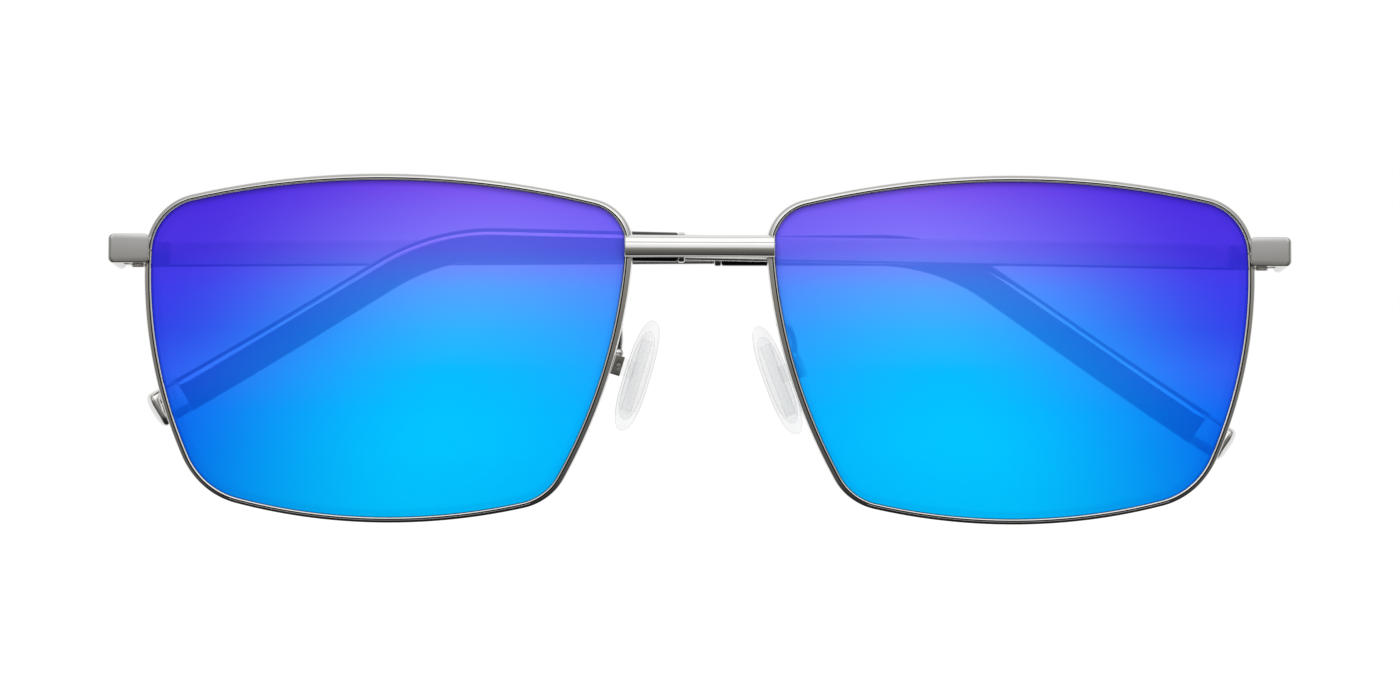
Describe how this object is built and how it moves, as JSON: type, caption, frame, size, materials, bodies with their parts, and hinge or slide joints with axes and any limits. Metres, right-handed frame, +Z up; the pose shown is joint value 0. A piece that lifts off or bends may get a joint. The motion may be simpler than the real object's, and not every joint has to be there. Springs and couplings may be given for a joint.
{
  "type": "sunglasses",
  "caption": "Folding metal sunglasses with squared full rims, a straight bridge bar, blue mirrored lenses, clear nose pads and black temple tips, folded shut.",
  "frame": {"origin": "the nose saddle, midway between the two nose pads at their mid height", "axes": "+X towards the wearer's left, -Y the way the wearer looks, +Z up"},
  "size_m": [0.1422, 0.0199, 0.0419],
  "materials": {
    "polished_metal": "polished",
    "hinge_metal": "satin",
    "screw_steel": "polished",
    "nylon": "matte",
    "mirror_lens": "mirror coated, violet to blue to cyan",
    "black_acetate": "gloss",
    "clear_silicone": "clear satin",
    "clear_core": "clear gloss"
  },
  "bodies": {
    "front": {"bridge": "polished_metal", "rim_left": "polished_metal", "lens_left": "mirror_lens", "endpiece_left": "polished_metal", "rim_lock_upper_left": "hinge_metal", "rim_lock_lower_left": "hinge_metal", "rim_lock_screw_left": "screw_steel", "hinge_leaf_front_left": "hinge_metal", "hinge_screw_left": "screw_steel", "hinge_washers_left": "nylon", "pad_arm_left": "polished_metal", "pad_box_left": "hinge_metal", "pad_screw_left": "screw_steel", "rim_right": "polished_metal", "lens_right": "mirror_lens", "endpiece_right": "polished_metal", "rim_lock_upper_right": "hinge_metal", "rim_lock_lower_right": "hinge_metal", "rim_lock_screw_right": "screw_steel", "hinge_leaf_front_right": "hinge_metal", "hinge_screw_right": "screw_steel", "hinge_washers_right": "nylon", "pad_arm_right": "polished_metal", "pad_box_right": "hinge_metal", "pad_screw_right": "screw_steel"},
    "temple_left": {"hinge_leaf_temple_left": "hinge_metal", "temple_bar_left": "polished_metal", "sleeve_collar_left": "polished_metal", "temple_sleeve_left": "black_acetate", "end_cap_left": "polished_metal"},
    "temple_right": {"hinge_leaf_temple_right": "hinge_metal", "temple_bar_right": "polished_metal", "sleeve_collar_right": "polished_metal", "temple_sleeve_right": "black_acetate", "end_cap_right": "polished_metal"},
    "pad_left": {"pad_core_left": "clear_core", "nose_pad_left": "clear_silicone"},
    "pad_right": {"pad_core_right": "clear_core", "nose_pad_right": "clear_silicone"}
  },
  "joints": [
    {"name": "temple_hinge_left", "type": "hinge", "parent": "front", "child": "temple_left", "pos_m": [0.06835, 0.005, 0.0149], "axis": [0, -0.0698, -0.9976], "range_deg": [0, 93]},
    {"name": "temple_hinge_right", "type": "hinge", "parent": "front", "child": "temple_right", "pos_m": [-0.06835, 0.005, 0.0149], "axis": [0, 0.0698, 0.9976], "range_deg": [0, 91]},
    {"name": "pad_rock_left", "type": "hinge", "parent": "front", "child": "pad_left", "pos_m": [0.0118, -0.00071, 0.00112], "axis": [0.2416, 0.9659, 0.0928], "range_deg": [-8, 8]},
    {"name": "pad_rock_right", "type": "hinge", "parent": "front", "child": "pad_right", "pos_m": [-0.00999, -0.00071, 0.00145], "axis": [-0.2475, 0.9659, 0.0757], "range_deg": [-8, 8]}
  ]
}
